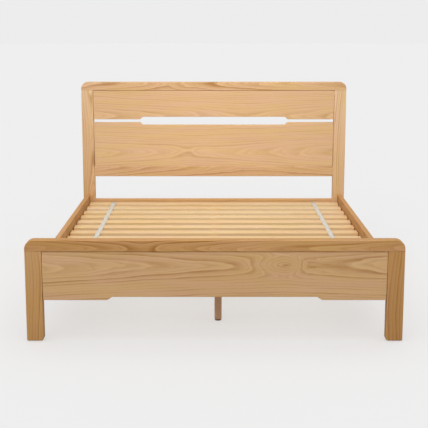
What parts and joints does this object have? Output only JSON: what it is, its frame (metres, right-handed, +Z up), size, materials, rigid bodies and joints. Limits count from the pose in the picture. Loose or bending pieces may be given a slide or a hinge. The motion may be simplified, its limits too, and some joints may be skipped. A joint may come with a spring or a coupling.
{
  "type": "slatted bed frame",
  "caption": "Oak bed frame with a slotted, rounded headboard, a low framed footboard, side rails, and pine slats on a centre rail with adjustable legs.",
  "frame": {"origin": "on the floor, under the middle of the bed's bounding box", "axes": "+Z up, +Y from the footboard towards the headboard, +X to the right seen from the foot of the bed"},
  "size_m": [1.63, 2.118, 1],
  "materials": {
    "oak": "clear satin lacquered oak with visible grain",
    "brown_wood": "brown stained hardwood, satin",
    "pine": "planed unfinished pine",
    "zinc_steel": "bright zinc plated steel",
    "webbing": "flat woven polyester webbing",
    "glide_plastic": "dark brown moulded plastic"
  },
  "bodies": {
    "frame": {"centre_leg_1": "brown_wood", "centre_leg_2": "brown_wood", "centre_leg_3": "brown_wood", "centre_rail": "pine", "centre_rail_bracket_foot": "zinc_steel", "centre_rail_bracket_head": "zinc_steel", "corner_nut_foot_left_lower": "zinc_steel", "corner_nut_foot_left_upper": "zinc_steel", "corner_nut_foot_right_lower": "zinc_steel", "corner_nut_foot_right_upper": "zinc_steel", "corner_nut_head_left_lower": "zinc_steel", "corner_nut_head_left_upper": "zinc_steel", "corner_nut_head_right_lower": "zinc_steel", "corner_nut_head_right_upper": "zinc_steel", "corner_stud_foot_left_lower": "zinc_steel", "corner_stud_foot_left_upper": "zinc_steel", "corner_stud_foot_right_lower": "zinc_steel", "corner_stud_foot_right_upper": "zinc_steel", "corner_stud_head_left_lower": "zinc_steel", "corner_stud_head_left_upper": "zinc_steel", "corner_stud_head_right_lower": "zinc_steel", "corner_stud_head_right_upper": "zinc_steel", "footboard_panel": "oak", "footboard_post_left": "oak", "footboard_post_left_glide": "glide_plastic", "footboard_post_right": "oak", "footboard_post_right_glide": "glide_plastic", "footboard_top_rail": "oak", "headboard_lower_panel": "oak", "headboard_lower_rail": "oak", "headboard_middle_rail": "oak", "headboard_post_left": "oak", "headboard_post_left_glide": "glide_plastic", "headboard_post_right": "oak", "headboard_post_right_glide": "glide_plastic", "headboard_top_rail": "oak", "headboard_upper_panel": "oak", "side_rail_left": "oak", "side_rail_right": "oak", "slat_01": "pine", "slat_02": "pine", "slat_03": "pine", "slat_04": "pine", "slat_05": "pine", "slat_06": "pine", "slat_07": "pine", "slat_08": "pine", "slat_09": "pine", "slat_10": "pine", "slat_11": "pine", "slat_12": "pine", "slat_13": "pine", "slat_14": "pine", "slat_ledge_left": "pine", "slat_ledge_right": "pine", "slat_webbing_left": "webbing", "slat_webbing_right": "webbing"},
    "levelling_glide_1": {"centre_leg_1_glide": "glide_plastic"},
    "levelling_glide_2": {"centre_leg_2_glide": "glide_plastic"},
    "levelling_glide_3": {"centre_leg_3_glide": "glide_plastic"}
  },
  "joints": [
    {"name": "levelling_glide_1_screw", "type": "slide", "parent": "frame", "child": "levelling_glide_1", "axis": [0, 0, 1], "range_m": [-0.012, 0.0015]},
    {"name": "levelling_glide_2_screw", "type": "slide", "parent": "frame", "child": "levelling_glide_2", "axis": [0, 0, 1], "range_m": [-0.012, 0.0015]},
    {"name": "levelling_glide_3_screw", "type": "slide", "parent": "frame", "child": "levelling_glide_3", "axis": [0, 0, 1], "range_m": [-0.012, 0.0015]}
  ]
}
